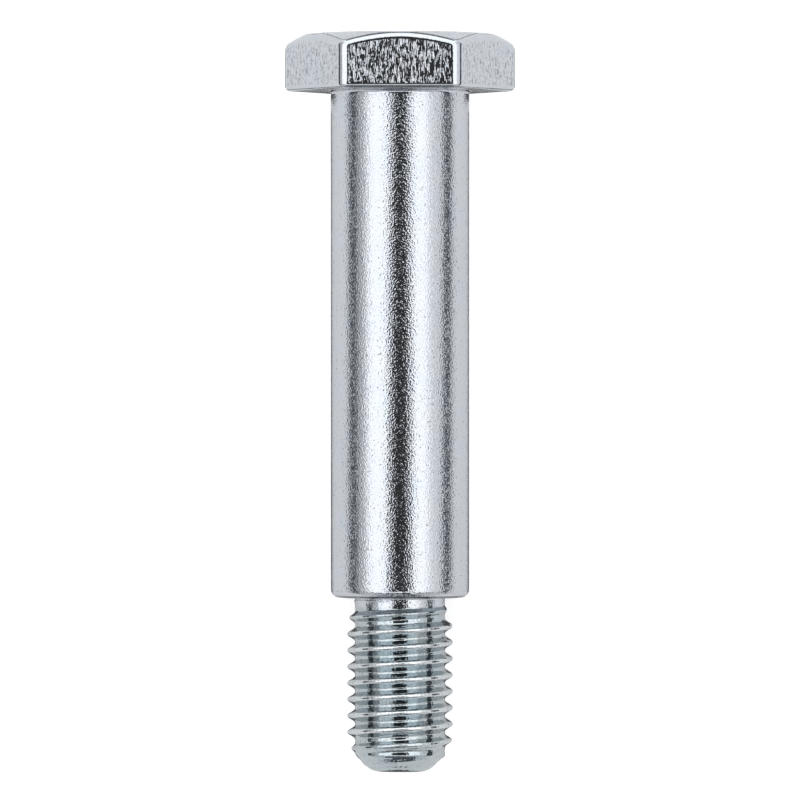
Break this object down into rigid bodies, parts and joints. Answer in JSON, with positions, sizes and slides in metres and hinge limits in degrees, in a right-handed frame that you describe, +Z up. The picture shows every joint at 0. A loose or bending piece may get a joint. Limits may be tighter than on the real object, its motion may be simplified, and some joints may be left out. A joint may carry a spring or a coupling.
{
  "type": "shoulder bolt",
  "caption": "Hex-head shoulder bolt with a long plain shoulder and a shorter, thinner threaded end past a relief groove; it lies on its side.",
  "frame": {"origin": "on the floor, in the middle of the box that the lying bolt fills", "axes": "+Y towards the head, in plan, +Z up. The bolt's axis lies in the YZ plane and rises 3.63 degrees towards the head, because the bolt rests on the lower edge of one head flat and on the chamfered rim at the end of its shoulder"},
  "size_m": [0.0212, 0.0682, 0.0188],
  "materials": {
    "zinc_plated_steel": "bright zinc plate on cold-headed steel, finely pebbled on the shoulder, with upright trimming marks on the head's flats"
  },
  "bodies": {
    "root": {"shoulder_bolt": "zinc_plated_steel"}
  },
  "joints": []
}
